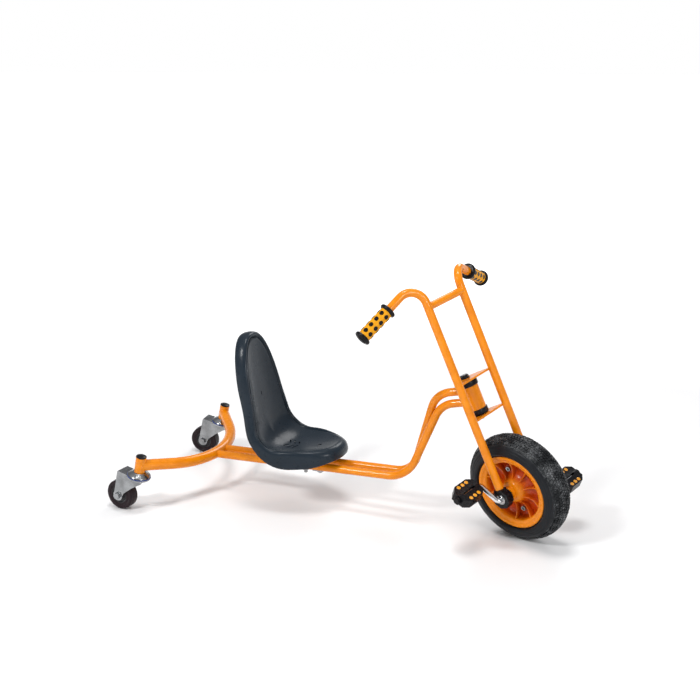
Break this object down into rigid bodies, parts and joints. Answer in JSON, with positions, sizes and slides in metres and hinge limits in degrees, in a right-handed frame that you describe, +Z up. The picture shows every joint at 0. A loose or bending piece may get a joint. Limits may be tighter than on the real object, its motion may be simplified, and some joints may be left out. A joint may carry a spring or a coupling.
{
  "type": "low tricycle",
  "caption": "Low pedal tricycle with a driven front wheel, high handlebar, black bucket seat, bent twin-tube frame and swivelling rear castors.",
  "frame": {"origin": "point on the ground plane, in the middle plane of the frame, where the steering axis meets the ground", "axes": "+X forward along the main tubes, +Y to the rider's left, +Z up"},
  "size_m": [0.9619, 0.4028, 0.5293],
  "materials": {
    "orange_paint": "gloss",
    "black_plastic": "satin",
    "seat_plastic": "satin",
    "grip_rubber": "matte",
    "black_rubber": "matte",
    "tyre": "matte",
    "rim_plastic": "gloss",
    "zinc": "satin",
    "chrome": "polished",
    "reflector": "gloss",
    "blue_seal": "satin",
    "castor_rubber": "matte",
    "grey_nylon": "satin"
  },
  "bodies": {
    "frame": {"rear_axle_tube": "orange_paint", "castor_stem_left": "orange_paint", "castor_stem_right": "orange_paint", "stem_caps": "black_plastic", "main_tube_left": "orange_paint", "main_tube_right": "orange_paint", "head_tube": "orange_paint", "head_bush_upper": "black_plastic", "head_bush_lower": "black_plastic", "seat_bracket": "orange_paint", "seat_clamp_plates": "zinc", "seat_bolts": "zinc", "seat_nuts": "zinc", "seat_shell": "seat_plastic", "seat_spacers": "black_plastic", "castor_race_left": "zinc", "castor_race_right": "zinc", "castor_kingpins": "zinc"},
    "steering": {"fork_leg_left": "orange_paint", "fork_leg_right": "orange_paint", "handlebar_crossbar": "orange_paint", "yoke_plate_upper": "orange_paint", "yoke_plate_lower": "orange_paint", "king_bolt": "zinc", "king_nut": "black_plastic", "grip_left": "grip_rubber", "grip_right": "grip_rubber", "grip_dots": "black_rubber", "grip_rings": "black_rubber", "grip_ends": "black_rubber", "axle_housing_left": "black_plastic", "axle_housing_right": "black_plastic", "axle_washers": "zinc"},
    "front_wheel": {"tyre": "tyre", "inner_tube": "black_rubber", "rim_left": "rim_plastic", "rim_right": "rim_plastic", "rim_bolts": "zinc", "rim_nuts": "zinc", "valve_stem": "black_rubber", "crank_axle": "chrome", "pedal_nuts": "black_plastic"},
    "pedal_left_body": {"pedal_left": "black_plastic", "reflectors_left": "reflector"},
    "pedal_right_body": {"pedal_right": "black_plastic", "reflectors_right": "reflector"},
    "castor_left": {"castor_fork_left": "zinc", "castor_seal_left": "blue_seal", "castor_axle_left": "zinc"},
    "castor_right": {"castor_fork_right": "zinc", "castor_seal_right": "blue_seal", "castor_axle_right": "zinc"},
    "castor_wheel_left": {"castor_tyre_left": "castor_rubber", "castor_hub_left": "grey_nylon"},
    "castor_wheel_right": {"castor_tyre_right": "castor_rubber", "castor_hub_right": "grey_nylon"}
  },
  "joints": [
    {"name": "steering_turn", "type": "hinge", "parent": "frame", "child": "steering", "pos_m": [0, 0, 0], "axis": [-0.4019, 0, 0.9157], "range_deg": [-36, 84]},
    {"name": "front_wheel_spin", "type": "hinge", "parent": "steering", "child": "front_wheel", "pos_m": [-0.01899, -0.0122, 0.11144], "axis": [0.3724, 0.9135, 0.1635], "continuous": true},
    {"name": "pedal_left_spin", "type": "hinge", "parent": "front_wheel", "child": "pedal_left_body", "pos_m": [0.06206, 0.07092, 0.10458], "axis": [0.3724, 0.9135, 0.1635], "continuous": true},
    {"name": "pedal_right_spin", "type": "hinge", "parent": "front_wheel", "child": "pedal_right_body", "pos_m": [-0.10003, -0.09533, 0.1183], "axis": [0.3724, 0.9135, 0.1635], "continuous": true},
    {"name": "castor_left_swivel", "type": "hinge", "parent": "frame", "child": "castor_left", "pos_m": [-0.78974, 0.1768, 0.08475], "axis": [0.2164, 0, 0.9763], "continuous": true},
    {"name": "castor_wheel_left_spin", "type": "hinge", "parent": "castor_left", "child": "castor_wheel_left", "pos_m": [-0.838, 0.17304, 0.03246], "axis": [-0.1021, 0.9945, 0.0226], "continuous": true},
    {"name": "castor_right_swivel", "type": "hinge", "parent": "frame", "child": "castor_right", "pos_m": [-0.78974, -0.1768, 0.08475], "axis": [0.2164, 0, 0.9763], "continuous": true},
    {"name": "castor_wheel_right_spin", "type": "hinge", "parent": "castor_right", "child": "castor_wheel_right", "pos_m": [-0.83806, -0.17366, 0.03247], "axis": [0.0851, 0.9962, -0.0189], "continuous": true}
  ]
}
